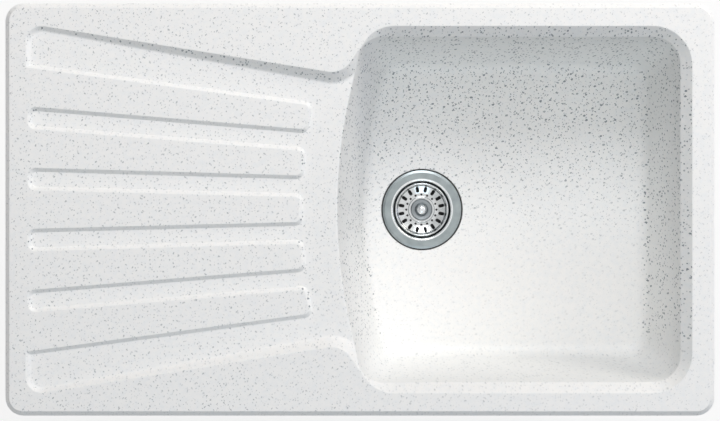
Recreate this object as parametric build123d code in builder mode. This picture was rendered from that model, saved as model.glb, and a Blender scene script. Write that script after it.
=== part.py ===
import os
from math import atan2, cos, radians, sin, sqrt, tan

from build123d import *

# Inset kitchen sink with drainer and basket strainer, in millimetres.
# x runs along the sink towards the bowl, y to the back, z up; z = 0 is the worktop under the rim.

# Rim
sink_length = 860
sink_width = 500
rim_thick = 9
rim_corner_r = 22
rim_bevel = 6
rim_bevel_round = 0.8
rim_under_r = 1
rim_width = 28
inner_x = sink_length / 2 - rim_width
inner_y = sink_width / 2 - rim_width

# Line on the rim where the recess begins: drainer, narrow throat, shoulder, bowl
drainer_x = inner_x + 2
drainer_y = inner_y + 3
drainer_corner_r = 19
throat_in = 58
throat_run = 41
throat_y = inner_y - throat_in
throat_r = 27
shoulder_r = 43
recess_round = 4
rim_inner_round = 1.5

# Bowl
lip_drop = 12
bowl_edge_x = -27.5
bowl_deep = 190
bowl_wall = 8
bowl_floor_thick = 11
bowl_arc_r = 650
mouth_z = rim_thick - lip_drop
mouth_right = inner_x - lip_drop
mouth_half = inner_y - lip_drop
mouth_corner_r = 34
mouth_round = 2
corner_y = mouth_half - mouth_corner_r
corner_x = bowl_edge_x + bowl_arc_r - sqrt((bowl_arc_r - mouth_corner_r) ** 2 - corner_y**2)
corner_gap = 3.3
throat_side = sqrt(throat_in**2 + throat_run**2)
throat_reach = throat_run * (corner_y - throat_y) + (corner_gap + mouth_corner_r) * throat_side
throat_x = corner_x - throat_reach / throat_in
shoulder_x = throat_x + throat_run
lip_corner_r = mouth_corner_r + lip_drop + 2
rim_line_radii = [drainer_corner_r, throat_r, shoulder_r, lip_corner_r]
recess_deep = lip_drop + 2
floor_round = 18
side_draft = tan(radians(5.2))
right_draft = tan(radians(2.5))
left_draft = tan(radians(10.5))
corner_draft = 0.045
floor_tilt = radians(0.8)
floor_z = rim_thick - bowl_deep

# Drainer floor, which falls to the bowl, and its ribs
rib_high = 4.5
rib_start_x = drainer_x - 1
drainer_thick = 8
drainer_fall = atan2(lip_drop - rib_high, bowl_edge_x + rib_start_x)
rib_base = 2
rib_back = 12
rib_left_x = -drainer_x + 23
rib_right_x = bowl_edge_x - 57
rib_side_left = 79
rib_side_right = 49.8
rib_left_pitch = (drainer_y - rib_side_left) / 2
rib_right_pitch = (throat_y - rib_side_right) / 2
groove_left = 27
groove_right = 26.1
rib_left_half = (rib_left_pitch - groove_left) / 2
rib_right_half = (rib_right_pitch - groove_right) / 2
rib_end_gap = 46.5
rib_tip_r = 10
rib_top_round = 1.2
groove_end_x = -inner_x + rib_high
groove_end_r = 5

# Clamp rail under the rim, inside the worktop cut-out, and the rim seal
cutout_in = 10
cutout_clear = 2
cutout_x = sink_length / 2 - cutout_in
cutout_y = sink_width / 2 - cutout_in
rail_x = cutout_x - cutout_clear
rail_y = cutout_y - cutout_clear
rail_r = 12
rail_wide = 22
rail_inner_r = 6
rail_high = 12
rail_round = 2
strip_wide = 6
strip_high = 2.5
strip_in = 3
strip_x = sink_length / 2 - strip_in
strip_y = sink_width / 2 - strip_in
strip_r = rim_corner_r - strip_in

# Tap hole that is closed from above until it is punched out
tap_x = throat_x - 45
tap_y = inner_y - 15
tap_hole_r = 17.5
tap_skin = 4
tap_hole_deep = rim_thick - tap_skin
tap_nut_r = 25

# Waste: sheet metal cup through the bowl floor, plastic body below it
play = 0.3
drain_in = 110.5
drain_x = bowl_edge_x + drain_in
waste_hole_r = 45
flange_lap = 7.5
flange_r = waste_hole_r + flange_lap
flange_thick = 1.2
flange_set = 1.2
flange_z = floor_z - flange_set
flange_gap = 2
step_round = 0.8
cup_top_r = 38.3
cup_seat_r = 36.7
cup_low_r = 26.8
cup_seat_deep = 22
cup_low_deep = 30
cup_deep = 43.8
cup_slots = 6
cup_slot_wide = 6
cup_mouth_round = 3
flange_edge_run = 3
flange_edge_drop = 0.9
seal_thick = 1.8
seal_r_in = waste_hole_r + 1
seal_r = flange_r + flange_gap - play
body_seal_wide = 10
body_seal_r = seal_r_in + body_seal_wide
body_flange_r = body_seal_r + 2
pad_r = body_flange_r + 3
pad_drop = 1.5
pad_z = floor_z - bowl_floor_thick - pad_drop
body_seal_thick = 3
body_top = pad_z - body_seal_thick - flange_z
body_flange_thick = 5
body_wall = 3.5
water_gap_top = 2.3
water_gap_low = 3
body_top_r = cup_top_r + flange_thick + water_gap_top
body_mid_r = cup_low_r + flange_thick + water_gap_low
body_shoulder = -cup_low_deep - 3.5
body_waist = body_shoulder - 8
boss_top = -cup_deep - flange_thick
boss_high = 15
body_foot = boss_top - 5.5
outlet_top = body_foot - 11.5
outlet_length = 35
outlet_low = outlet_top - outlet_length
outlet_thread_r = 23.9
outlet_wall = 3.9
outlet_r = outlet_thread_r - outlet_wall
thread_pitch = 2.309
thread_deep = 1.2
thread_turns = 10
web_count = 4
web_thick = 3
web_high = 4.5
screw_r = 3
screw_hole_r = screw_r + play
screw_length = boss_high + 1
insert_r = screw_r + 2.2
insert_high = boss_high - 3
boss_r = insert_r + 2.8

# Basket: sieve cup, knob, stem and stopper
sheet = 0.9
basket_gap = 3.6
basket_rim_r = cup_top_r - basket_gap
basket_bead_r = 1.3
basket_rim_deep = 4.3
basket_wall_in = 2.6
basket_wall_r = basket_rim_r - basket_wall_in
basket_wall_deep = 16.6
basket_wall_round = 1.6
basket_deep = 20.5
basket_cone_run = 9.6
basket_floor_r = basket_wall_r - basket_cone_run
basket_hub_r = 18.2
basket_hub_high = 3.5
hub_slope = 1
hub_round = 0.8
hub_top_r = basket_hub_r - hub_slope
hub_z = -basket_deep + basket_hub_high
basket_holes = 16
basket_hole_r = 1.5
basket_hole_at = basket_hub_r + basket_hole_r + 0.7
slot_wide = 4.4
slot_in = basket_floor_r + 0.9
slot_out = basket_wall_r - 0.7
knob_gap = 2.6
knob_r = hub_top_r - knob_gap
knob_high = 4
knob_neck_r = 8
knob_z = hub_z + play
cap_r = 6.6
cap_high = 4
cap_edge = 1
cap_z = knob_z + 7.5
dome_r = (cap_r**2 + (cap_high - cap_edge) ** 2) / (2 * (cap_high - cap_edge))
dome_middle = (cap_r / 2, cap_z + cap_high - dome_r + sqrt(dome_r**2 - cap_r**2 / 4))
stem_r = 3
stopper_thick = 4
stopper_z = -basket_deep - sheet - play
lip_z = stopper_z - stopper_thick - 0.2
seat_slope = (cup_seat_r - cup_low_r) / (cup_low_deep - cup_seat_deep)
seat_gap = 0.77
stopper_r = cup_seat_r + (lip_z + cup_seat_deep) * seat_slope - seat_gap
stopper_washer_r = 10
stopper_washer_thick = 1
nut_across = 2 * stem_r + 4
nut_high = 4
nut_low = stopper_z - stopper_thick - stopper_washer_thick - nut_high
ring_wire_r = 0.8
ring_groove_r = stem_r - 0.6

# Sleeve of the screw that holds the waste together, where the stem slides
sleeve_bore_r = ring_groove_r + 2 * ring_wire_r + play
sleeve_r = sleeve_bore_r + 2.7
sleeve_floor = 1.4
sleeve_washer_r = sleeve_r + 2.5
sleeve_washer_thick = 1
sleeve_gap = 1.1
sleeve_low = -cup_deep + sleeve_washer_thick
sleeve_high = nut_low - sleeve_gap - sleeve_low
stem_deep = cup_deep - sleeve_washer_thick - sleeve_floor - 0.8
ring_deep = stem_deep - 3.6
cup_slot_in = sleeve_washer_r + 2.5
cup_slot_out = cup_low_r - 4.8

# Clamps
clamp_screw_r = 2.5
clamp_hole_r = clamp_screw_r + 2
clamp_hole_deep = rail_high + 3
clamp_screw_top = 1
clamp_wide = 11
clamp_sheet = 2
clamp_back = 7
clamp_reach = 26
clamp_low = 46
clamp_tip_high = 5.5
clamp_bend_r = 1.5
clamp_washer_r = clamp_wide / 2
clamp_washer_thick = 1
clamp_head_r = clamp_screw_r + 2
clamp_head_high = 3.5
driver_slot = 1.2
rail_mid_x = rail_x - rail_wide / 2
rail_mid_y = rail_y - rail_wide / 2
clamp_end_gap = 107
clamp_mid_x = 40
clamp_x = {"left": clamp_end_gap - rail_mid_x, "mid": clamp_mid_x, "right": rail_mid_x - clamp_end_gap}
clamp_side_y = rail_mid_y - clamp_end_gap
clamp_places = {}
for place, x in clamp_x.items():
    clamp_places["back_" + place] = (x, rail_mid_y, 0)
    clamp_places["front_" + place] = (x, -rail_mid_y, 0)
for place, x in (("left", -rail_mid_x), ("right", rail_mid_x)):
    clamp_places[place + "_back"] = (x, clamp_side_y, -90)
    clamp_places[place + "_front"] = (x, -clamp_side_y, 90)

hair = 0.01
bottom_up = (Align.CENTER, Align.CENTER, Align.MIN)
top_down = (Align.CENTER, Align.CENTER, Align.MAX)

# The drainer floor plane: the rib tops start level with the rim and fall with the floor
fall_normal = Vector(sin(drainer_fall), 0, cos(drainer_fall))
fall_along = Vector(cos(drainer_fall), 0, -sin(drainer_fall))
drainer_plane = Plane(
    origin=Vector(-rib_start_x, 0, rim_thick) - fall_normal * rib_high,
    x_dir=fall_along,
    z_dir=fall_normal,
)
floor_plane = Plane(
    origin=(drain_x, 0, floor_z),
    x_dir=(cos(floor_tilt), 0, sin(floor_tilt)),
    z_dir=(-sin(floor_tilt), 0, cos(floor_tilt)),
)


def along_drainer(x):
    return (x - drainer_plane.origin.X) / cos(drainer_fall)


def on_drainer(point):
    return abs(drainer_plane.to_local_coords(point).Z) < hair


def rib_edge(rib, side, x):
    share = (x - rib_left_x) / (rib_right_x - rib_left_x)
    pitch = rib_left_pitch + (rib_right_pitch - rib_left_pitch) * share
    half = rib_left_half + (rib_right_half - rib_left_half) * share + rib_high
    return (along_drainer(x), rib * pitch + side * half)


def rib_tip(rib, side):
    end_r = bowl_arc_r + rib_end_gap - rib_high
    reach = rib_edge(rib, side, rib_right_x)[1]
    return rib_edge(rib, side, bowl_edge_x + bowl_arc_r - sqrt(end_r**2 - reach**2))


def bowl_outline(plane, z, grow):
    drop = mouth_z - z
    corner_r = mouth_corner_r - drop * corner_draft + grow
    shift = plane.origin.X
    half = mouth_half - drop * side_draft + grow
    right = mouth_right - drop * right_draft + grow - shift
    left = bowl_edge_x + drop * left_draft - grow - shift
    sag = bowl_arc_r - sqrt(bowl_arc_r**2 - half**2)
    with BuildSketch(plane, mode=Mode.PRIVATE) as outline:
        with BuildLine():
            Polyline((left + sag, half), (right, half), (right, -half), (left + sag, -half))
            ThreePointArc((left + sag, -half), (left, 0), (left + sag, half))
        make_face()
        fillet(outline.vertices(), corner_r)
    return outline.sketch.face()


def ring_edges(turned, r, z):
    level = flange_z + z
    circles = turned.edges().filter_by(GeomType.CIRCLE).filter_by(lambda edge: abs(edge.radius - r) < hair)
    return circles.filter_by_position(Axis.Z, level - hair, level + hair)


def ring_section(z_low, z_high, r_in, r_out):
    return [(r_in, z_low), (r_out, z_low), (r_out, z_high), (r_in, z_high)]


drain_axis = Axis((drain_x, 0, flange_z), (0, 0, 1))
drain_plane = Plane(origin=(drain_x, 0, flange_z), x_dir=(1, 0, 0), z_dir=(0, -1, 0))

# Recess in the rim with sloping sides: over the drainer it ends on the falling floor
with BuildPart() as recess:
    with BuildSketch(Plane.XY.offset(-rim_thick)):
        with BuildLine():
            FilletPolyline(
                (-drainer_x, -drainer_y),
                (throat_x, -throat_y),
                (shoulder_x, -inner_y),
                (inner_x, -inner_y),
                (inner_x, inner_y),
                (shoulder_x, inner_y),
                (throat_x, throat_y),
                (-drainer_x, drainer_y),
                radius=rim_line_radii + rim_line_radii[::-1],
                close=True,
            )
        make_face()
    extrude(amount=recess_deep, taper=45)
    mirror(about=Plane.XY, mode=Mode.REPLACE)
    split(bisect_by=drainer_plane, keep=Keep.TOP)
    fillet(recess.faces().filter_by(lambda f: on_drainer(f.center())).edges(), recess_round)

# Ribs of the drainer as one comb, its back buried in the left rim
comb_points = [rib_edge(-2, -1, -drainer_x - rib_back)]
comb_radii = [rib_tip_r]
for rib in (-2, -1, 0, 1, 2):
    if rib > -2:
        comb_points.append(rib_edge(rib, -1, groove_end_x))
        comb_radii.append(groove_end_r)
    comb_points.append(rib_tip(rib, -1))
    comb_points.append(rib_tip(rib, 1))
    comb_radii.extend([rib_tip_r, rib_tip_r])
    if rib < 2:
        comb_points.append(rib_edge(rib, 1, groove_end_x))
        comb_radii.append(groove_end_r)
comb_points.append(rib_edge(2, 1, -drainer_x - rib_back))
comb_radii.append(rib_tip_r)

with BuildPart() as comb:
    with BuildSketch(drainer_plane) as comb_base:
        with BuildLine():
            FilletPolyline(*comb_points, radius=comb_radii, close=True)
        make_face()
    extrude(amount=rib_high, taper=45)
    fillet(comb.faces().sort_by(Axis(drainer_plane.origin, fall_normal))[-1].edges(), rib_top_round)
    extrude(comb_base.sketch, amount=-rib_base)
    split(bisect_by=Plane.XY.offset(rim_thick), keep=Keep.BOTTOM)

# Hollow of the bowl
with BuildPart() as bowl_hollow:
    loft(
        [
            bowl_outline(Plane.XY.offset(rim_thick + 1), rim_thick + 1, 0),
            bowl_outline(floor_plane, floor_z, 0),
        ],
        ruled=True,
    )
    fillet(bowl_hollow.faces().sort_by(Axis.Z)[0].edges(), floor_round)

# Outside of the bowl
with BuildPart() as bowl_shell:
    loft(
        [
            bowl_outline(Plane.XY.offset(1), 1, bowl_wall),
            bowl_outline(floor_plane.offset(-bowl_floor_thick), floor_z, bowl_wall),
        ],
        ruled=True,
    )
    fillet(bowl_shell.faces().sort_by(Axis.Z)[0].edges(), floor_round + bowl_wall)

# Underside of the drainer, parallel to its floor
with BuildPart() as drainer_under:
    with BuildSketch(drainer_plane.offset(-drainer_thick)):
        with BuildLine():
            Polyline(
                (along_drainer(-drainer_x), -drainer_y),
                (along_drainer(throat_x), -throat_y),
                (along_drainer(shoulder_x), -inner_y),
                (along_drainer(shoulder_x), inner_y),
                (along_drainer(throat_x), throat_y),
                (along_drainer(-drainer_x), drainer_y),
                close=True,
            )
        make_face()
    extrude(amount=drainer_thick + lip_drop)
    split(bisect_by=Plane.XY.offset(rim_thick / 2), keep=Keep.BOTTOM)

with BuildPart() as sink_body:
    # Rim
    with BuildSketch():
        RectangleRounded(sink_length, sink_width, rim_corner_r)
    extrude(amount=rim_thick)
    chamfer(sink_body.faces().sort_by(Axis.Z)[-1].edges(), rim_bevel)
    fillet(sink_body.faces().sort_by(Axis.Z)[-1].edges(), rim_bevel_round)
    fillet(sink_body.faces().sort_by(Axis.Z)[0].edges(), rim_under_r)
    # Clamp rail
    with BuildSketch():
        RectangleRounded(2 * rail_x, 2 * rail_y, rail_r)
        RectangleRounded(
            2 * (rail_x - rail_wide), 2 * (rail_y - rail_wide), rail_inner_r, mode=Mode.SUBTRACT
        )
    extrude(amount=-rail_high)
    fillet(sink_body.faces().sort_by(Axis.Z)[0].edges(), rail_round)
    add(drainer_under.part)
    add(bowl_shell.part)
    # Flat pad under the waste
    with Locations((drain_x, 0, pad_z)):
        Cylinder(pad_r, bowl_floor_thick / 2, align=bottom_up)
    # Recess with a softened edge on the rim, then ribs and bowl
    add(recess.part, mode=Mode.SUBTRACT)
    fillet(sink_body.faces().sort_by(Axis.Z)[-1].inner_wires()[0].edges(), rim_inner_round)
    add(comb.part)
    add(bowl_hollow.part, mode=Mode.SUBTRACT)
    bowl_walls = sink_body.faces(Select.LAST).filter_by_position(
        Axis.Z, floor_z + 2 * floor_round, mouth_z - 2 * floor_round
    )
    fillet(bowl_walls.edges().filter_by_position(Axis.Z, mouth_z - 1, rim_thick), mouth_round)
    # Waste hole with a step for the strainer flange
    with Locations((drain_x, 0, flange_z - flange_thick - seal_thick)):
        Cylinder(
            flange_r + flange_gap,
            flange_set + flange_thick + seal_thick + 3,
            align=bottom_up,
            mode=Mode.SUBTRACT,
        )
    step_wall = sink_body.faces(Select.LAST).filter_by(GeomType.CYLINDER)
    fillet(step_wall.edges().group_by(Axis.Z)[-1], step_round)
    with Locations((drain_x, 0, pad_z)):
        Cylinder(waste_hole_r, floor_z - pad_z, align=bottom_up, mode=Mode.SUBTRACT)
    # Groove for the rim seal
    with BuildSketch():
        RectangleRounded(2 * strip_x, 2 * strip_y, strip_r)
        RectangleRounded(
            2 * (strip_x - strip_wide),
            2 * (strip_y - strip_wide),
            strip_r - strip_wide,
            mode=Mode.SUBTRACT,
        )
    extrude(amount=strip_high, mode=Mode.SUBTRACT)
    # Tap holes, open below only, with room for the nut in the rail
    with Locations((tap_x, tap_y, 0), (tap_x, -tap_y, 0)):
        Cylinder(tap_hole_r, tap_hole_deep, align=bottom_up, mode=Mode.SUBTRACT)
        Cylinder(tap_nut_r, rail_high, align=top_down, mode=Mode.SUBTRACT)
    # Holes for the clamp anchors
    with Locations(*[(x, y, -rail_high) for x, y, turn in clamp_places.values()]):
        Cylinder(clamp_hole_r, clamp_hole_deep, align=bottom_up, mode=Mode.SUBTRACT)
sink_body.part.label = "sink_body"

with BuildPart() as rim_seal_strip:
    with BuildSketch():
        RectangleRounded(2 * strip_x, 2 * strip_y, strip_r)
        RectangleRounded(
            2 * (strip_x - strip_wide),
            2 * (strip_y - strip_wide),
            strip_r - strip_wide,
            mode=Mode.SUBTRACT,
        )
    extrude(amount=strip_high)
rim_seal_strip.part.label = "rim_seal_strip"

# Strainer flange: pressed cup with a flat ring, drilled for the screw and slotted for the water
with BuildPart() as strainer_flange:
    with BuildSketch(drain_plane):
        with BuildLine():
            Polyline(
                (screw_hole_r, -cup_deep),
                (cup_low_r, -cup_deep),
                (cup_low_r, -cup_low_deep),
                (cup_seat_r, -cup_seat_deep),
                (cup_top_r, 0),
                (flange_r - flange_edge_run, 0),
                (flange_r, -flange_edge_drop),
                (flange_r, -flange_thick),
                (cup_top_r + flange_thick, -flange_thick),
                (cup_seat_r + flange_thick, -cup_seat_deep),
                (cup_low_r + flange_thick, -cup_low_deep),
                (cup_low_r + flange_thick, -cup_deep - flange_thick),
                (screw_hole_r, -cup_deep - flange_thick),
                close=True,
            )
        make_face()
    revolve(axis=drain_axis)
    fillet(strainer_flange.edges().group_by(Axis.Z)[-1].sort_by(SortBy.RADIUS)[0], cup_mouth_round)
    under_corner = ring_edges(strainer_flange, cup_top_r + flange_thick, -flange_thick)
    fillet(under_corner, cup_mouth_round - flange_thick)
    with BuildSketch(Plane(origin=(drain_x, 0, flange_z - cup_deep))):
        with PolarLocations((cup_slot_in + cup_slot_out) / 2, cup_slots):
            SlotOverall(cup_slot_out - cup_slot_in, cup_slot_wide)
    extrude(amount=-flange_thick, mode=Mode.SUBTRACT)
strainer_flange.part.label = "strainer_flange"

with BuildPart() as flange_seal:
    with BuildSketch(drain_plane):
        with BuildLine():
            Polyline(
                *ring_section(-flange_thick - seal_thick, -flange_thick, seal_r_in, seal_r),
                close=True,
            )
        make_face()
    revolve(axis=drain_axis)
flange_seal.part.label = "flange_seal"

with BuildPart() as body_seal:
    with BuildSketch(drain_plane):
        with BuildLine():
            Polyline(*ring_section(body_top, body_top + body_seal_thick, seal_r_in, body_seal_r), close=True)
        make_face()
    revolve(axis=drain_axis)
body_seal.part.label = "body_seal"

# Waste body: funnel under the bowl with a threaded outlet and a webbed boss for the screw
with BuildPart() as waste_body:
    with BuildSketch(drain_plane):
        with BuildLine():
            Polyline(
                (body_top_r, body_top),
                (body_flange_r, body_top),
                (body_flange_r, body_top - body_flange_thick),
                (body_top_r + body_wall, body_top - body_flange_thick),
                (body_top_r + body_wall, body_shoulder),
                (body_mid_r + body_wall, body_waist),
                (body_mid_r + body_wall, body_foot),
                (outlet_thread_r, outlet_top),
                (outlet_thread_r, outlet_low),
                (outlet_r, outlet_low),
                (outlet_r, outlet_top),
                (body_mid_r, body_foot),
                (body_mid_r, body_waist),
                (body_top_r, body_shoulder),
                close=True,
            )
        make_face()
    revolve(axis=drain_axis)
    with BuildSketch(drain_plane):
        for turn in range(thread_turns):
            groove_z = outlet_low + (turn + 1) * thread_pitch
            with BuildLine():
                Polyline(
                    (outlet_thread_r - thread_deep, groove_z),
                    (outlet_thread_r + 0.1, groove_z - thread_pitch * 0.4),
                    (outlet_thread_r + 0.1, groove_z + thread_pitch * 0.4),
                    close=True,
                )
            make_face()
    revolve(axis=drain_axis, mode=Mode.SUBTRACT)
    with Locations((drain_x, 0, flange_z + boss_top)):
        Cylinder(boss_r, boss_high, align=top_down)
    with Locations((drain_x, 0, flange_z + body_foot + 0.5)):
        with PolarLocations(0, web_count):
            Box(body_mid_r + body_wall / 2, web_thick, web_high, align=(Align.MIN, Align.CENTER, Align.MIN))
    with Locations((drain_x, 0, flange_z + boss_top)):
        Cylinder(screw_hole_r, boss_high, align=top_down, mode=Mode.SUBTRACT)
    with Locations((drain_x, 0, flange_z + boss_top - boss_high)):
        Cylinder(insert_r, insert_high, align=bottom_up, mode=Mode.SUBTRACT)
waste_body.part.label = "waste_body"

with BuildPart() as insert_nut:
    with Locations((drain_x, 0, flange_z + boss_top - boss_high)):
        Cylinder(insert_r, insert_high, align=bottom_up)
        Cylinder(screw_r, insert_high, align=bottom_up, mode=Mode.SUBTRACT)
insert_nut.part.label = "insert_nut"

with BuildPart() as sleeve_washer:
    with Locations((drain_x, 0, flange_z - cup_deep)):
        Cylinder(sleeve_washer_r, sleeve_washer_thick, align=bottom_up)
        Cylinder(screw_hole_r, sleeve_washer_thick, align=bottom_up, mode=Mode.SUBTRACT)
sleeve_washer.part.label = "sleeve_washer"

# Screw with a hollow head, in which the basket stem slides
with BuildPart() as sleeve_screw:
    with Locations((drain_x, 0, flange_z + sleeve_low)):
        Cylinder(sleeve_r, sleeve_high, align=bottom_up)
        Cylinder(screw_r, screw_length, align=top_down)
    with Locations((drain_x, 0, flange_z + sleeve_low + sleeve_floor)):
        Cylinder(sleeve_bore_r, sleeve_high, align=bottom_up, mode=Mode.SUBTRACT)
    fillet(sleeve_screw.edges().group_by(Axis.Z)[-1], 0.5)
sleeve_screw.part.label = "sleeve_screw"

# Basket: loose sieve with a rolled rim, a ring of holes and long slots in its sloping side
with BuildPart() as basket_cup:
    with BuildSketch(drain_plane):
        with BuildLine():
            Polyline(
                (stem_r + play, hub_z),
                (hub_top_r, hub_z),
                (basket_hub_r, -basket_deep),
                (basket_floor_r, -basket_deep),
                (basket_wall_r, -basket_wall_deep),
                (basket_rim_r - basket_bead_r, -basket_rim_deep),
                (basket_rim_r - basket_bead_r + sheet, -basket_rim_deep),
                (basket_wall_r + sheet, -basket_wall_deep),
                (basket_floor_r + sheet / 2, -basket_deep - sheet),
                (basket_hub_r - sheet / 2, -basket_deep - sheet),
                (hub_top_r - sheet / 2, hub_z - sheet),
                (stem_r + play, hub_z - sheet),
                close=True,
            )
        make_face()
        with Locations((basket_rim_r, -basket_rim_deep)):
            Circle(basket_bead_r)
    revolve(axis=drain_axis)
    fillet(ring_edges(basket_cup, hub_top_r, hub_z), hub_round)
    fillet(ring_edges(basket_cup, basket_wall_r, -basket_wall_deep), basket_wall_round)
    with Locations((drain_x, 0, flange_z - basket_deep - sheet)):
        with PolarLocations(basket_hole_at, basket_holes):
            Cylinder(basket_hole_r, 2 * sheet, align=bottom_up, mode=Mode.SUBTRACT)
    with BuildSketch(Plane(origin=(drain_x, 0, flange_z - basket_deep - sheet))):
        with PolarLocations((slot_in + slot_out) / 2, basket_holes, start_angle=180 / basket_holes):
            SlotOverall(slot_out - slot_in, slot_wide)
    extrude(amount=basket_deep - basket_rim_deep, mode=Mode.SUBTRACT)
basket_cup.part.label = "basket_cup"

with BuildPart() as basket_knob:
    with BuildSketch(drain_plane):
        with BuildLine():
            Polyline(
                (stem_r, knob_z),
                (knob_r - 1, knob_z),
                (knob_r, knob_z + 1),
                (knob_r, knob_z + knob_high - 1.2),
                (knob_r - 1.2, knob_z + knob_high),
                (knob_neck_r + 1, knob_z + knob_high - 0.8),
                (knob_neck_r, knob_z + knob_high + 0.4),
                (cap_r, cap_z),
                (stem_r, cap_z),
                close=True,
            )
        make_face()
    revolve(axis=drain_axis)
basket_knob.part.label = "basket_knob"

with BuildPart() as knob_cap:
    with BuildSketch(drain_plane):
        with BuildLine():
            Line((0, cap_z), (cap_r, cap_z))
            Line((cap_r, cap_z), (cap_r, cap_z + cap_edge))
            ThreePointArc((cap_r, cap_z + cap_edge), dome_middle, (0, cap_z + cap_high))
            Line((0, cap_z + cap_high), (0, cap_z))
        make_face()
    revolve(axis=drain_axis)
knob_cap.part.label = "knob_cap"

with BuildPart() as basket_stem:
    with BuildSketch(drain_plane):
        with BuildLine():
            Polyline(
                (0, cap_z),
                (stem_r, cap_z),
                (stem_r, -ring_deep + ring_wire_r + 0.2),
                (ring_groove_r, -ring_deep + ring_wire_r + 0.2),
                (ring_groove_r, -ring_deep - ring_wire_r - 0.2),
                (stem_r, -ring_deep - ring_wire_r - 0.2),
                (stem_r, -stem_deep + 0.8),
                (stem_r - 0.8, -stem_deep),
                (0, -stem_deep),
                close=True,
            )
        make_face()
    revolve(axis=drain_axis)
basket_stem.part.label = "basket_stem"

with BuildPart() as stem_ring:
    with BuildSketch(drain_plane):
        with Locations((ring_groove_r + ring_wire_r, -ring_deep)):
            Circle(ring_wire_r)
    revolve(axis=drain_axis)
stem_ring.part.label = "stem_ring"

# Stopper: rubber disc whose lip closes on the sloping seat of the strainer cup
with BuildPart() as basket_stopper:
    with BuildSketch(drain_plane):
        with BuildLine():
            Polyline(
                (stem_r, stopper_z),
                (stopper_r - 7, stopper_z),
                (stopper_r - 1.5, stopper_z - 1.8),
                (stopper_r, stopper_z - stopper_thick - 0.2),
                (stopper_r - 1.7, stopper_z - stopper_thick - 0.6),
                (stopper_r - 8, stopper_z - stopper_thick + 0.7),
                (stem_r, stopper_z - stopper_thick),
                close=True,
            )
        make_face()
    revolve(axis=drain_axis)
basket_stopper.part.label = "basket_stopper"

with BuildPart() as stopper_washer:
    with Locations((drain_x, 0, flange_z + stopper_z - stopper_thick)):
        Cylinder(stopper_washer_r, stopper_washer_thick, align=top_down)
        Cylinder(stem_r, stopper_washer_thick, align=top_down, mode=Mode.SUBTRACT)
stopper_washer.part.label = "stopper_washer"

with BuildPart() as stem_nut:
    nut_z = flange_z + stopper_z - stopper_thick - stopper_washer_thick
    with BuildSketch(Plane(origin=(drain_x, 0, nut_z))):
        RegularPolygon(nut_across / 2, 6, major_radius=False)
        Circle(stem_r, mode=Mode.SUBTRACT)
    extrude(amount=-nut_high)
stem_nut.part.label = "stem_nut"

# Clamp fixings, one of each at every place on the rail
clamp_spots = [(x, y, -rail_high) for x, y, turn in clamp_places.values()]
with BuildPart() as clamp_anchors:
    with Locations(*clamp_spots):
        Cylinder(clamp_hole_r, clamp_hole_deep, align=bottom_up)
        Cylinder(clamp_screw_r, clamp_screw_top + rail_high, align=bottom_up, mode=Mode.SUBTRACT)
clamp_anchors.part.label = "clamp_anchors"

washer_spots = [(x, y, -clamp_low - play) for x, y, turn in clamp_places.values()]
with BuildPart() as clamp_washers:
    with Locations(*washer_spots):
        Cylinder(clamp_washer_r, clamp_washer_thick, align=top_down)
        Cylinder(clamp_screw_r, clamp_washer_thick, align=top_down, mode=Mode.SUBTRACT)
clamp_washers.part.label = "clamp_washers"

head_z = -clamp_low - play - clamp_washer_thick
head_spots = [(x, y, head_z) for x, y, turn in clamp_places.values()]
slot_spots = [(x, y, head_z - clamp_head_high) for x, y, turn in clamp_places.values()]
with BuildPart() as clamp_screws:
    with Locations(*head_spots):
        Cylinder(clamp_head_r, clamp_head_high, align=top_down)
        Cylinder(clamp_screw_r, clamp_screw_top - head_z, align=bottom_up)
    fillet(clamp_screws.edges().group_by(Axis.Z)[0], 1)
    with Locations(*slot_spots):
        Box(1.6 * clamp_head_r, driver_slot, 2 * driver_slot, mode=Mode.SUBTRACT)
        Box(driver_slot, 1.6 * clamp_head_r, 2 * driver_slot, mode=Mode.SUBTRACT)
clamp_screws.part.label = "clamp_screws"


def clamp_bracket(x, y, turn):
    along = Vector(cos(radians(turn)), sin(radians(turn)), 0)
    side = Plane(origin=(x, y, 0), x_dir=along, z_dir=along.cross(Vector(0, 0, 1)))
    with BuildPart() as bracket:
        with BuildSketch(side):
            with BuildLine():
                Polyline(
                    (-clamp_back, -rail_high - play),
                    (-clamp_back, -clamp_low),
                    (clamp_reach, -clamp_low),
                    (clamp_reach, -clamp_low + clamp_tip_high),
                    (clamp_reach - clamp_sheet, -clamp_low + clamp_tip_high),
                    (clamp_reach - clamp_sheet, -clamp_low + clamp_sheet),
                    (clamp_sheet - clamp_back, -clamp_low + clamp_sheet),
                    (clamp_sheet - clamp_back, -rail_high - play),
                    close=True,
                )
            make_face()
        extrude(amount=clamp_wide / 2, both=True)
        low_bends = bracket.edges().filter_by(Axis((0, 0, 0), side.z_dir)).group_by(Axis.Z)[0]
        fillet(low_bends, clamp_bend_r)
        with Locations((x, y, -clamp_low)):
            Cylinder(clamp_screw_r + play, clamp_sheet, align=bottom_up, mode=Mode.SUBTRACT)
    return bracket.part


clamp_brackets = {}
for place, (x, y, turn) in clamp_places.items():
    bracket = clamp_bracket(x, y, turn)
    bracket.label = "clamp_bracket_" + place
    clamp_brackets[place] = bracket

pieces = [
    sink_body.part,
    rim_seal_strip.part,
    strainer_flange.part,
    flange_seal.part,
    body_seal.part,
    waste_body.part,
    insert_nut.part,
    sleeve_washer.part,
    sleeve_screw.part,
    basket_cup.part,
    basket_knob.part,
    knob_cap.part,
    basket_stem.part,
    stem_ring.part,
    basket_stopper.part,
    stopper_washer.part,
    stem_nut.part,
    clamp_anchors.part,
    clamp_washers.part,
    clamp_screws.part,
]
pieces.extend(clamp_brackets.values())

os.makedirs("parts", exist_ok=True)
for piece in pieces:
    export_step(piece, "parts/" + piece.label + ".step")
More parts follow.
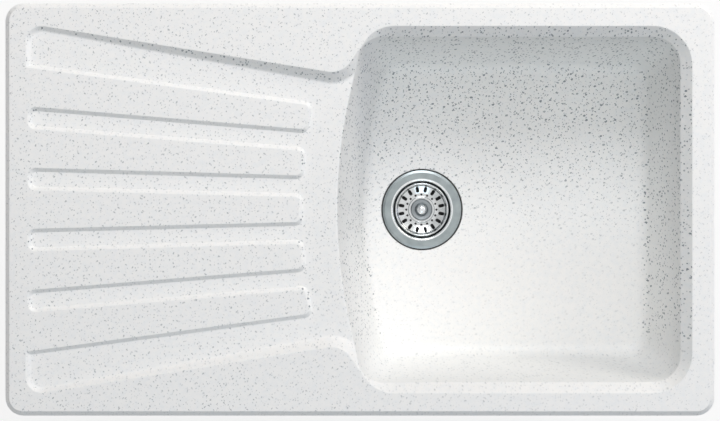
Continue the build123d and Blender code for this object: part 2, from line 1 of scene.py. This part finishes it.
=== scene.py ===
import bpy
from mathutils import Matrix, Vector


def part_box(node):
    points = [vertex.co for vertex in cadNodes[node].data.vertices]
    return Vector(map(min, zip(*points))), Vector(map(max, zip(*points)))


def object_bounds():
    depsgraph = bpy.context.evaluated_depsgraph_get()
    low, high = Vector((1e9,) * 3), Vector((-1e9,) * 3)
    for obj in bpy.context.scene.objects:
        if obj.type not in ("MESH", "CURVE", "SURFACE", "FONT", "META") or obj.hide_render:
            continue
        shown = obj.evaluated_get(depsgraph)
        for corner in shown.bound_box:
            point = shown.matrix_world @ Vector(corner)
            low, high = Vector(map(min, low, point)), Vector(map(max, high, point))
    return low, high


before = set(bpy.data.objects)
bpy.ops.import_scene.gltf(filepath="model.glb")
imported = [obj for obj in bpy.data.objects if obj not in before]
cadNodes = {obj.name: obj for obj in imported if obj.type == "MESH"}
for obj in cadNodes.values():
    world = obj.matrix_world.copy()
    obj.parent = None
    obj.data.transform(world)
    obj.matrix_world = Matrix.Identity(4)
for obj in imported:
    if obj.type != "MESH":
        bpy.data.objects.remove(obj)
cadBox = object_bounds()
print("sink frame loaded:", len(cadNodes), "nodes")


def toLinear(hexColour):  # sRGB hex to the linear values a shader wants
    parts = [int(hexColour[i:i + 2], 16) / 255 for i in (1, 3, 5)]
    return [p / 12.92 if p <= 0.04045 else ((p + 0.055) / 1.055) ** 2.4 for p in parts] + [1.0]


# Sockets go by name or by place: a Mix node has its share at 0, numbers at 2 and 3, colours at 6 and 7
def addNode(tree, kind, settings, links):  # properties and socket values, then incoming links
    node = tree.nodes.new(kind)
    for name, value in settings.items():
        if isinstance(name, str) and hasattr(node, name):
            setattr(node, name, value)
        else:
            node.inputs[name].default_value = value
    for name, source in links.items():
        tree.links.new(source, node.inputs[name])
    return node


def newTree(name):
    material = bpy.data.materials.new(name)
    material.use_nodes = True
    material.node_tree.nodes.clear()
    return material, material.node_tree


def perMm(size):  # texture scale for a pattern of this size in millimetres
    return 1000 / size


def strongest(tree, masks):
    top = masks[0]
    for mask in masks[1:]:
        top = addNode(tree, "ShaderNodeMath", {"operation": "MAXIMUM"}, {0: top, 1: mask}).outputs[0]
    return top


def dress(material, *nodeNames):
    for nodeName in nodeNames:
        mesh = cadNodes[nodeName].data
        mesh.materials.clear()
        mesh.materials.append(material)
        mesh.shade_smooth()
    print("finished:", material.name, "on", ", ".join(nodeNames))


# Quartz and acrylic composite, cast in a polished mould: white with grey grains, matt to silky
stone = {
    "white": "#F7F7F5",
    "cool": "#F1F3F3",
    "cloudSize": 6.0,  # mm, faint clouds of the cool white
    "cloudRange": (0.4, 0.75),
    "speck": "#7C848A",
    "softEdge": 0.25,  # mm over which a grain fades into the resin
    "grainDepth": (0.3, 0.8),  # faintest and boldest grain
    "rippleSize": 2.2,  # mm, bends the outlines of the grains
    "rippleShift": 0.0014,  # metres
    "levelRange": (0.6, 0.92),  # upward part of the normal, from wall to level face
    "bowlMiddle": (0.206, 0.0, -0.1),  # metres
    # walls that face out of the bowl get fewer grains than the walls inside, which carry painted shade
    "outside": 0.45,  # share of the grains on walls that face out of the bowl
    "gritSize": 0.9,  # mm, real grit is finer, drawn so it just shows
    "bump": 0.12,
    "bumpDepth": 0.0002,  # metres
    "roughness": (0.36, 0.52),
    "ior": 1.5,
}
levelGrains = [  # spacing, then smallest and largest radius in mm, on the faces that lie level
    {"cells": "2D", "spacing": 4.6, "radius": (0.1, 0.85),
     "shape": (1.0, 1.0, 1.0), "turn": (0.0, 0.0, 0.0)},
    {"cells": "2D", "spacing": 8.0, "radius": (0.2, 1.15),
     "shape": (1.5, 0.75, 1.0), "turn": (0.0, 0.0, 0.8)},
    {"cells": "2D", "spacing": 8.8, "radius": (0.2, 1.15),
     "shape": (1.5, 0.75, 1.0), "turn": (0.0, 0.0, -0.7)},
]
bowlGrains = [  # coarse ones on the bowl floor only, painted shade that is strongest at the back of the floor
    {"cells": "2D", "spacing": 10.0, "radius": (0.3, 1.6),
     "shape": (1.25, 0.85, 1.0), "turn": (0.0, 0.0, 0.3)},
]
wallGrains = [  # longer upwards, because grains lie flat along the steep walls of the mould
    {"cells": "3D", "spacing": 4.0, "radius": (0.4, 1.35),
     "shape": (0.95, 0.95, 2.4), "turn": (0.0, 0.0, 0.0)},
    {"cells": "3D", "spacing": 5.0, "radius": (0.4, 1.6),
     "shape": (0.85, 0.85, 2.8), "turn": (0.2, 0.15, 0.6)},
]
grainShadeRamps = {  # how strongly the grains show, between two places in metres: stronger where shade falls, as painted shade, and fainter where light falls, as painted light
    "bowl": {"axis": "Z", "places": (-0.03, -0.12), "shares": (0.0, 1.0)},
    # floor and inner walls: grains bold at the back as painted shade, faint at the front as painted light;
    # rim: fainter to the right as painted light
    "floor": {"axis": "Y", "places": (-0.06, 0.14), "shares": (0.25, 1.7)},  # front to back
    "rim": {"axis": "X", "places": (-0.15, 0.25), "shares": (0.85, 0.45)},  # left to right
    "wall": {"axis": "Y", "places": (-0.172, -0.15), "shares": (0.5, 1.9)},  # front to back
}


def speckLayer(tree, point, grain):  # one scatter of grains, 0 to 1
    spacing = grain["spacing"]
    smallest, largest = grain["radius"]
    faintest, boldest = stone["grainDepth"]
    placed = addNode(tree, "ShaderNodeMapping",
                     {"vector_type": "TEXTURE", "Scale": grain["shape"], "Rotation": grain["turn"]},
                     {"Vector": point})
    cells = addNode(tree, "ShaderNodeTexVoronoi",
                    {"voronoi_dimensions": grain["cells"], "Scale": perMm(spacing)},
                    {"Vector": placed.outputs[0]})
    luck = addNode(tree, "ShaderNodeSeparateColor", {}, {"Color": cells.outputs["Color"]})
    radius = addNode(tree, "ShaderNodeMapRange",
                     {"To Min": smallest / spacing, "To Max": largest / spacing},
                     {"Value": luck.outputs["Red"]})
    inside = addNode(tree, "ShaderNodeMath", {"operation": "SUBTRACT"},
                     {0: radius.outputs[0], 1: cells.outputs["Distance"]})
    edge = addNode(tree, "ShaderNodeMapRange",
                   {"interpolation_type": "SMOOTHSTEP", "From Max": stone["softEdge"] / spacing},
                   {"Value": inside.outputs[0]})
    depth = addNode(tree, "ShaderNodeMapRange", {"To Min": faintest, "To Max": boldest},
                    {"Value": luck.outputs["Green"]})
    return addNode(tree, "ShaderNodeMath", {"operation": "MULTIPLY"},
                   {0: edge.outputs[0], 1: depth.outputs[0]}).outputs[0]


def grainShadeShares(tree, point, facing):  # painted shade in the grains: strongest in the bowl and at its back, weakest at its front
    place = addNode(tree, "ShaderNodeSeparateXYZ", {}, {"Vector": point})
    share = {}
    for name, ramp in grainShadeRamps.items():
        first, last = ramp["places"]
        least, most = ramp["shares"]
        share[name] = addNode(tree, "ShaderNodeMapRange",
                              {"From Min": first, "From Max": last, "To Min": least, "To Max": most},
                              {"Value": place.outputs[ramp["axis"]]}).outputs[0]
    onLevel = addNode(tree, "ShaderNodeMix", {}, {0: share["bowl"], 2: share["rim"], 3: share["floor"]})
    inward = addNode(tree, "ShaderNodeVectorMath", {"operation": "SUBTRACT", 0: stone["bowlMiddle"]},
                     {1: point})
    turned = addNode(tree, "ShaderNodeVectorMath", {"operation": "DOT_PRODUCT"},
                     {0: inward.outputs[0], 1: facing})
    inside = addNode(tree, "ShaderNodeMath", {"operation": "GREATER_THAN", 1: 0.0},
                     {0: turned.outputs["Value"]})
    onWall = addNode(tree, "ShaderNodeMix", {2: stone["outside"]}, {0: inside.outputs[0], 3: share["wall"]})
    return share["bowl"], onLevel.outputs[0], onWall.outputs[0]


def makeStone():
    material, tree = newTree("composite stone, cast matt")
    point = addNode(tree, "ShaderNodeTexCoord", {}, {}).outputs["Object"]
    facing = addNode(tree, "ShaderNodeNewGeometry", {}, {}).outputs["Normal"]
    ripple = addNode(tree, "ShaderNodeTexNoise", {"Scale": perMm(stone["rippleSize"]), "Detail": 1.0},
                     {"Vector": point})
    bent = addNode(tree, "ShaderNodeVectorMath",
                   {"operation": "MULTIPLY_ADD", 1: (stone["rippleShift"],) * 3},
                   {0: ripple.outputs["Color"], 2: point}).outputs[0]
    # the shares paint shade into the grains: bolder in the bowl and towards its back, fainter where light
    # falls
    bowlShadeShare, levelShadeShare, wallShadeShare = grainShadeShares(tree, point, facing)
    onWall = strongest(tree, [speckLayer(tree, bent, grain) for grain in wallGrains])
    onLevel = [speckLayer(tree, bent, grain) for grain in levelGrains]
    for grain in bowlGrains:
        coarse = speckLayer(tree, bent, grain)
        settled = addNode(tree, "ShaderNodeMath", {"operation": "MULTIPLY"}, {0: coarse, 1: bowlShadeShare})
        onLevel.append(settled.outputs[0])
    levelSpecks = addNode(tree, "ShaderNodeMath", {"operation": "MULTIPLY"},
                          {0: strongest(tree, onLevel), 1: levelShadeShare})
    wallSpecks = addNode(tree, "ShaderNodeMath", {"operation": "MULTIPLY"}, {0: onWall, 1: wallShadeShare})
    up = addNode(tree, "ShaderNodeSeparateXYZ", {}, {"Vector": facing}).outputs["Z"]
    upright = addNode(tree, "ShaderNodeMath", {"operation": "ABSOLUTE"}, {0: up})
    steepest, flattest = stone["levelRange"]
    level = addNode(tree, "ShaderNodeMapRange",
                    {"interpolation_type": "SMOOTHSTEP", "From Min": steepest, "From Max": flattest},
                    {"Value": upright.outputs[0]})
    specks = addNode(tree, "ShaderNodeMix", {},
                     {0: level.outputs[0], 2: wallSpecks.outputs[0], 3: levelSpecks.outputs[0]})
    cloud = addNode(tree, "ShaderNodeTexNoise", {"Scale": perMm(stone["cloudSize"]), "Detail": 3.0},
                    {"Vector": point})
    thin, thick = stone["cloudRange"]
    cloudShare = addNode(tree, "ShaderNodeMapRange", {"From Min": thin, "From Max": thick},
                         {"Value": cloud.outputs["Fac"]})
    resin = addNode(tree, "ShaderNodeMix",
                    {"data_type": "RGBA", 6: toLinear(stone["white"]), 7: toLinear(stone["cool"])},
                    {0: cloudShare.outputs[0]})
    colour = addNode(tree, "ShaderNodeMix", {"data_type": "RGBA", 7: toLinear(stone["speck"])},
                     {0: specks.outputs[0], 6: resin.outputs[2]})
    grit = addNode(tree, "ShaderNodeTexNoise", {"Scale": perMm(stone["gritSize"]), "Detail": 2.0},
                   {"Vector": point})
    silky, matt = stone["roughness"]
    gloss = addNode(tree, "ShaderNodeMapRange", {"To Min": silky, "To Max": matt},
                    {"Value": grit.outputs["Fac"]})
    bump = addNode(tree, "ShaderNodeBump", {"Strength": stone["bump"], "Distance": stone["bumpDepth"]},
                   {"Height": grit.outputs["Fac"]})
    shader = addNode(tree, "ShaderNodeBsdfPrincipled", {"IOR": stone["ior"]},
                     {"Base Color": colour.outputs[2], "Roughness": gloss.outputs[0],
                      "Normal": bump.outputs[0]})
    addNode(tree, "ShaderNodeOutputMaterial", {}, {"Surface": shader.outputs[0]})
    return material


dress(makeStone(), "sink_body")


# Metal of the strainer, with rings about the middle of the waste, coarser than real ones so they show
turning = {
    "axis": sum(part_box("strainer_flange"), Vector()) / 2,
    "handlingSize": 12.0,  # mm, patches left by hands and water
    "ringShare": 0.55,  # weight of the rings beside the patches
    "toneRange": (0.45, 1.1),
    "glossSpread": (0.8, 1.3),  # times the roughness
    "bumpDepth": 0.0001,  # metres
}


def makeTurned(look):
    material, tree = newTree(look["name"])
    point = addNode(tree, "ShaderNodeTexCoord", {}, {}).outputs["Object"]
    fromAxis = addNode(tree, "ShaderNodeVectorMath", {"operation": "SUBTRACT", 1: turning["axis"]},
                       {0: point})
    flat = addNode(tree, "ShaderNodeVectorMath", {"operation": "MULTIPLY", 1: (1.0, 1.0, 0.0)},
                   {0: fromAxis.outputs[0]})  # leaves the height out
    radius = addNode(tree, "ShaderNodeVectorMath", {"operation": "LENGTH"},
                     {0: flat.outputs[0]}).outputs["Value"]
    rings = addNode(tree, "ShaderNodeTexNoise",
                    {"noise_dimensions": "1D", "Scale": perMm(look["ring"]), "Detail": 2.0}, {"W": radius})
    handling = addNode(tree, "ShaderNodeTexNoise",
                       {"Scale": perMm(turning["handlingSize"]), "Detail": 3.0}, {"Vector": point})
    tone = addNode(tree, "ShaderNodeMath", {"operation": "MULTIPLY_ADD", 1: turning["ringShare"]},
                   {0: rings.outputs["Fac"], 2: handling.outputs["Fac"]})
    darkest, lightest = turning["toneRange"]
    share = addNode(tree, "ShaderNodeMapRange", {"From Min": darkest, "From Max": lightest},
                    {"Value": tone.outputs[0]})
    colour = addNode(tree, "ShaderNodeMix",
                     {"data_type": "RGBA", 6: toLinear(look["dark"]), 7: toLinear(look["light"])},
                     {0: share.outputs[0]}).outputs[2]
    shiny, dull = (look["roughness"] * times for times in turning["glossSpread"])
    gloss = addNode(tree, "ShaderNodeMapRange", {"To Min": shiny, "To Max": dull},
                    {"Value": handling.outputs["Fac"]}).outputs[0]
    if "polishAndHighlight" in look:  # a ring, by its distance from the axis, polished smoother and painted lighter as a highlight
        inner, outer = look["polishAt"]
        polishedAndHighlit = addNode(tree, "ShaderNodeMath",
                         {"operation": "COMPARE", 1: (inner + outer) / 2, 2: (outer - inner) / 2},
                         {0: radius}).outputs[0]
        colour = addNode(tree, "ShaderNodeMix", {"data_type": "RGBA", 7: toLinear(look["polishAndHighlight"])},
                         {0: polishedAndHighlit, 6: colour}).outputs[2]
        gloss = addNode(tree, "ShaderNodeMix", {3: look["polishRoughness"]},
                        {0: polishedAndHighlit, 2: gloss}).outputs[0]
    bump = addNode(tree, "ShaderNodeBump", {"Strength": look["bump"], "Distance": turning["bumpDepth"]},
                   {"Height": rings.outputs["Fac"]})
    shader = addNode(tree, "ShaderNodeBsdfPrincipled", {"Metallic": 1.0},
                     {"Base Color": colour, "Roughness": gloss, "Normal": bump.outputs[0]})
    addNode(tree, "ShaderNodeOutputMaterial", {}, {"Surface": shader.outputs[0]})
    return material


# Stainless steel, spun and brushed: a grey satin ring with one narrow band polished smoother and painted
# lighter as a highlight
flangeSteel = {
    "name": "stainless steel, spun satin",
    "light": "#AEB6B7",
    "dark": "#8F989A",
    "ring": 0.5,  # mm
    "roughness": 0.3,
    "bump": 0.1,
    # lighter colour of the polished band: a painted highlight on the mouth of the flange
    "polishAndHighlight": "#E9ECEC",
    "polishAt": (0.0384, 0.0414),  # metres
    "polishRoughness": 0.12,
}
dress(makeTurned(flangeSteel), "strainer_flange")

# Stainless sheet, pressed and polished: bright, with soft streaks from the tool
basketSteel = {
    "name": "stainless steel, pressed bright",
    "light": "#DADCDC",
    "dark": "#C3C6C7",
    "ring": 0.9,  # mm
    "roughness": 0.16,
    "bump": 0.05,
}
dress(makeTurned(basketSteel), "basket_cup", "basket_stem", "sleeve_screw", "stopper_washer", "stem_nut")

# Stainless bar, turned and left plain: a dull grey disc with fine rings
knobSteel = {
    "name": "stainless steel, turned grey",
    "light": "#9EA3A6",
    "dark": "#858B8E",
    "ring": 0.4,  # mm
    "roughness": 0.34,
    "bump": 0.1,
}
dress(makeTurned(knobSteel), "basket_knob")

# Chrome plate, polished: a small mirror that takes the colour of the room
capSteel = {
    "name": "chrome plate, polished",
    "light": "#E8E9EA",
    "dark": "#DCDEE0",
    "ring": 0.6,  # mm
    "roughness": 0.06,
    "bump": 0.01,
}
dress(makeTurned(capSteel), "knob_cap")


# Moulded and plated small pieces: a soft mottle, with grain drawn coarser than the real one so it shows
mottling = {
    "patchSize": 14.0,  # mm
    "grainShare": 0.6,  # weight of the grain beside the patches
    "toneRange": (0.5, 1.1),
    "glossSpread": (0.88, 1.14),  # times the roughness
    "bumpDepth": 0.0002,  # metres
}


def makeMottled(look):
    material, tree = newTree(look["name"])
    point = addNode(tree, "ShaderNodeTexCoord", {}, {}).outputs["Object"]
    grain = addNode(tree, "ShaderNodeTexNoise", {"Scale": perMm(look["grain"]), "Detail": 3.0},
                    {"Vector": point})
    patch = addNode(tree, "ShaderNodeTexNoise", {"Scale": perMm(mottling["patchSize"]), "Detail": 2.0},
                    {"Vector": point})
    tone = addNode(tree, "ShaderNodeMath", {"operation": "MULTIPLY_ADD", 1: mottling["grainShare"]},
                   {0: grain.outputs["Fac"], 2: patch.outputs["Fac"]})
    darkest, lightest = mottling["toneRange"]
    share = addNode(tree, "ShaderNodeMapRange", {"From Min": darkest, "From Max": lightest},
                    {"Value": tone.outputs[0]})
    colour = addNode(tree, "ShaderNodeMix",
                     {"data_type": "RGBA", 6: toLinear(look["dark"]), 7: toLinear(look["light"])},
                     {0: share.outputs[0]})
    shiny, dull = (look["roughness"] * times for times in mottling["glossSpread"])
    gloss = addNode(tree, "ShaderNodeMapRange", {"To Min": shiny, "To Max": dull},
                    {"Value": patch.outputs["Fac"]})
    bump = addNode(tree, "ShaderNodeBump", {"Strength": look["bump"], "Distance": mottling["bumpDepth"]},
                   {"Height": grain.outputs["Fac"]})
    shader = addNode(tree, "ShaderNodeBsdfPrincipled", look["shader"],
                     {"Base Color": colour.outputs[2], "Roughness": gloss.outputs[0],
                      "Normal": bump.outputs[0]})
    addNode(tree, "ShaderNodeOutputMaterial", {}, {"Surface": shader.outputs[0]})
    return material


# Nitrile rubber, moulded: near black, with a dry and slightly uneven skin
sealRubber = {
    "name": "nitrile rubber, moulded",
    "light": "#2A2A2B",
    "dark": "#1B1B1C",
    "grain": 1.2,  # mm
    "roughness": 0.62,
    "bump": 0.25,
    "shader": {"IOR": 1.52},
}
dress(makeMottled(sealRubber), "flange_seal", "body_seal", "sleeve_washer", "stem_ring", "basket_stopper")

# Cell rubber, cut in strip: charcoal, with open pores and no shine
sealFoam = {
    "name": "cell rubber, cut strip",
    "light": "#39393A",
    "dark": "#1E1E1F",
    "grain": 0.9,  # mm
    "roughness": 0.85,
    "bump": 0.6,
    "shader": {"IOR": 1.5},
}
dress(makeMottled(sealFoam), "rim_seal_strip")

# Polypropylene, moulded: pale grey and a little waxy
wastePlastic = {
    "name": "polypropylene, moulded",
    "light": "#DEDEDA",
    "dark": "#D3D3CE",
    "grain": 1.0,  # mm
    "roughness": 0.42,
    "bump": 0.12,
    "shader": {"IOR": 1.49},
}
dress(makeMottled(wastePlastic), "waste_body")

# Nylon, moulded: warm ivory, half matt
anchorNylon = {
    "name": "nylon, moulded",
    "light": "#DCDAD2",
    "dark": "#CECBC1",
    "grain": 0.8,  # mm
    "roughness": 0.48,
    "bump": 0.12,
    "shader": {"IOR": 1.53},
}
dress(makeMottled(anchorNylon), "clamp_anchors")

# Steel, bright zinc plated: cool silver with soft clouds in the plate
zincSteel = {
    "name": "steel, bright zinc plated",
    "light": "#CDD0D2",
    "dark": "#A9AEB2",
    "grain": 2.4,  # mm
    "roughness": 0.34,
    "bump": 0.1,
    "shader": {"Metallic": 1.0},
}
brackets = sorted(name for name in cadNodes if name.startswith("clamp_bracket_"))
dress(makeMottled(zincSteel), "clamp_washers", "clamp_screws", *brackets)

# Brass, turned: warm yellow, a little dull from handling
insertBrass = {
    "name": "brass, turned",
    "light": "#D6B260",
    "dark": "#B8913F",
    "grain": 0.7,  # mm
    "roughness": 0.3,
    "bump": 0.1,
    "shader": {"Metallic": 1.0},
}
dress(makeMottled(insertBrass), "insert_nut")


def seenRays(tree):  # 1 where the camera, gloss or glass looks
    path = addNode(tree, "ShaderNodeLightPath", {}, {})
    rays = ("Is Camera Ray", "Is Glossy Ray", "Is Transmission Ray")
    return strongest(tree, [path.outputs[ray] for ray in rays])


# Matt paper floor just under the outlet: pale, and keeps the shadow of the sink
floorSet = {
    "colour": "#F4F4F2",
    "white": "#FFFFFF",
    "half": 12.0,  # metres, so that no edge shows in the views from above
    "gap": 0.0005,  # metres
    "glow": 0.8,  # share of plain white that is seen, and the rest is paper
}


def makeFloor():
    low = cadBox[0][2] - floorSet["gap"]
    half = floorSet["half"]
    corners = [(-half, -half, low), (half, -half, low), (half, half, low), (-half, half, low)]
    mesh = bpy.data.meshes.new("studioFloor")
    mesh.from_pydata(corners, [], [(0, 1, 2, 3)])
    floor = bpy.data.objects.new("studioFloor", mesh)
    bpy.context.scene.collection.objects.link(floor)
    material, tree = newTree("paper floor, pale")
    share = addNode(tree, "ShaderNodeMath", {"operation": "MULTIPLY", 1: floorSet["glow"]},
                    {0: seenRays(tree)})
    paper = addNode(tree, "ShaderNodeBsdfDiffuse", {"Color": toLinear(floorSet["colour"])}, {})
    glow = addNode(tree, "ShaderNodeEmission", {"Color": toLinear(floorSet["white"]), "Strength": 1.0}, {})
    both = addNode(tree, "ShaderNodeMixShader", {},
                   {0: share.outputs[0], 1: paper.outputs[0], 2: glow.outputs[0]})
    addNode(tree, "ShaderNodeOutputMaterial", {}, {"Surface": both.outputs[0]})
    mesh.materials.append(material)


makeFloor()
print("floor laid")


# Soft lamps behind, at the back right corner and on the right, a weak cool fill and a pale ceiling
lampAim = (0.15, 0.0, -0.1)  # metres, in the bowl
windowLamp = {
    "name": "windowLamp",
    "place": (0.15, 2.0, 2.13),
    "wide": 1.2,  # metres
    "high": 1.0,
    "power": 29.0,  # watts
    "colour": "#FBFCFF",
}
cornerLamp = {
    "name": "cornerLamp",
    "place": (1.9, 2.05, 1.35),
    "wide": 1.2,
    "high": 1.0,
    "power": 29.0,
    "colour": "#FFF9EF",
}
sideLamp = {
    "name": "sideLamp",
    "place": (2.8, 0.4, 1.2),
    "wide": 1.2,
    "high": 1.0,
    "power": 11.0,
    "colour": "#E0E5FF",
}
frontLamp = {
    "name": "frontLamp",
    "place": (0.15, -2.298, 1.828),
    "wide": 1.4,
    "high": 1.2,
    "power": 9.5,
    "colour": "#CDECFF",
}
studioSet = {
    "colour": "#FCF9F8",
    "white": "#FFFFFF",
    "ceiling": 1.73,  # strength straight above
    "focus": 6.0,  # how fast the ceiling fades towards the walls
}


def addLamp(look):
    data = bpy.data.lights.new(look["name"], "AREA")
    data.shape = "RECTANGLE"
    data.size = look["wide"]
    data.size_y = look["high"]
    data.energy = look["power"]
    data.color = toLinear(look["colour"])[:3]
    lamp = bpy.data.objects.new(look["name"], data)
    lamp.location = look["place"]
    lamp.rotation_euler = (Vector(lampAim) - lamp.location).to_track_quat("-Z", "Y").to_euler()
    bpy.context.scene.collection.objects.link(lamp)


def makeStudio():
    world = bpy.data.worlds.new("studio")
    bpy.context.scene.world = world
    world.use_nodes = True
    tree = world.node_tree
    tree.nodes.clear()
    way = addNode(tree, "ShaderNodeTexCoord", {}, {}).outputs["Generated"]
    up = addNode(tree, "ShaderNodeSeparateXYZ", {}, {"Vector": way}).outputs["Z"]
    above = addNode(tree, "ShaderNodeMath", {"operation": "MAXIMUM", 1: 0.0}, {0: up})
    fade = addNode(tree, "ShaderNodeMath", {"operation": "POWER", 1: studioSet["focus"]},
                   {0: above.outputs[0]})
    level = addNode(tree, "ShaderNodeMath", {"operation": "MULTIPLY", 1: studioSet["ceiling"]},
                    {0: fade.outputs[0]})
    fill = addNode(tree, "ShaderNodeBackground", {"Color": toLinear(studioSet["colour"])},
                   {"Strength": level.outputs[0]})
    white = addNode(tree, "ShaderNodeBackground",
                    {"Color": toLinear(studioSet["white"]), "Strength": 1.0}, {})
    both = addNode(tree, "ShaderNodeMixShader", {},
                   {0: seenRays(tree), 1: fill.outputs[0], 2: white.outputs[0]})
    addNode(tree, "ShaderNodeOutputWorld", {}, {"Surface": both.outputs[0]})


for lampSet in (windowLamp, cornerLamp, sideLamp, frontLamp):
    addLamp(lampSet)
makeStudio()
print("lights set")


# Straight down on the sink, its long side across the picture
cameraSet = {
    "distance": 1.8,  # metres above the rim
    "across": 0.8706,  # metres of the rim's plane that the picture takes in
    "sensor": 36.0,  # mm
    "shiftX": 0.0001,  # metres
    "shiftY": -0.0012,
}


def makeCamera():
    data = bpy.data.cameras.new("topCamera")
    data.sensor_width = cameraSet["sensor"]
    data.lens = cameraSet["sensor"] * cameraSet["distance"] / cameraSet["across"]
    camera = bpy.data.objects.new("topCamera", data)
    camera.location = (cameraSet["shiftX"], cameraSet["shiftY"], cadBox[1][2] + cameraSet["distance"])
    bpy.context.scene.collection.objects.link(camera)
    bpy.context.scene.camera = camera


makeCamera()
bpy.context.scene.view_settings.view_transform = "Standard"
print("camera set")
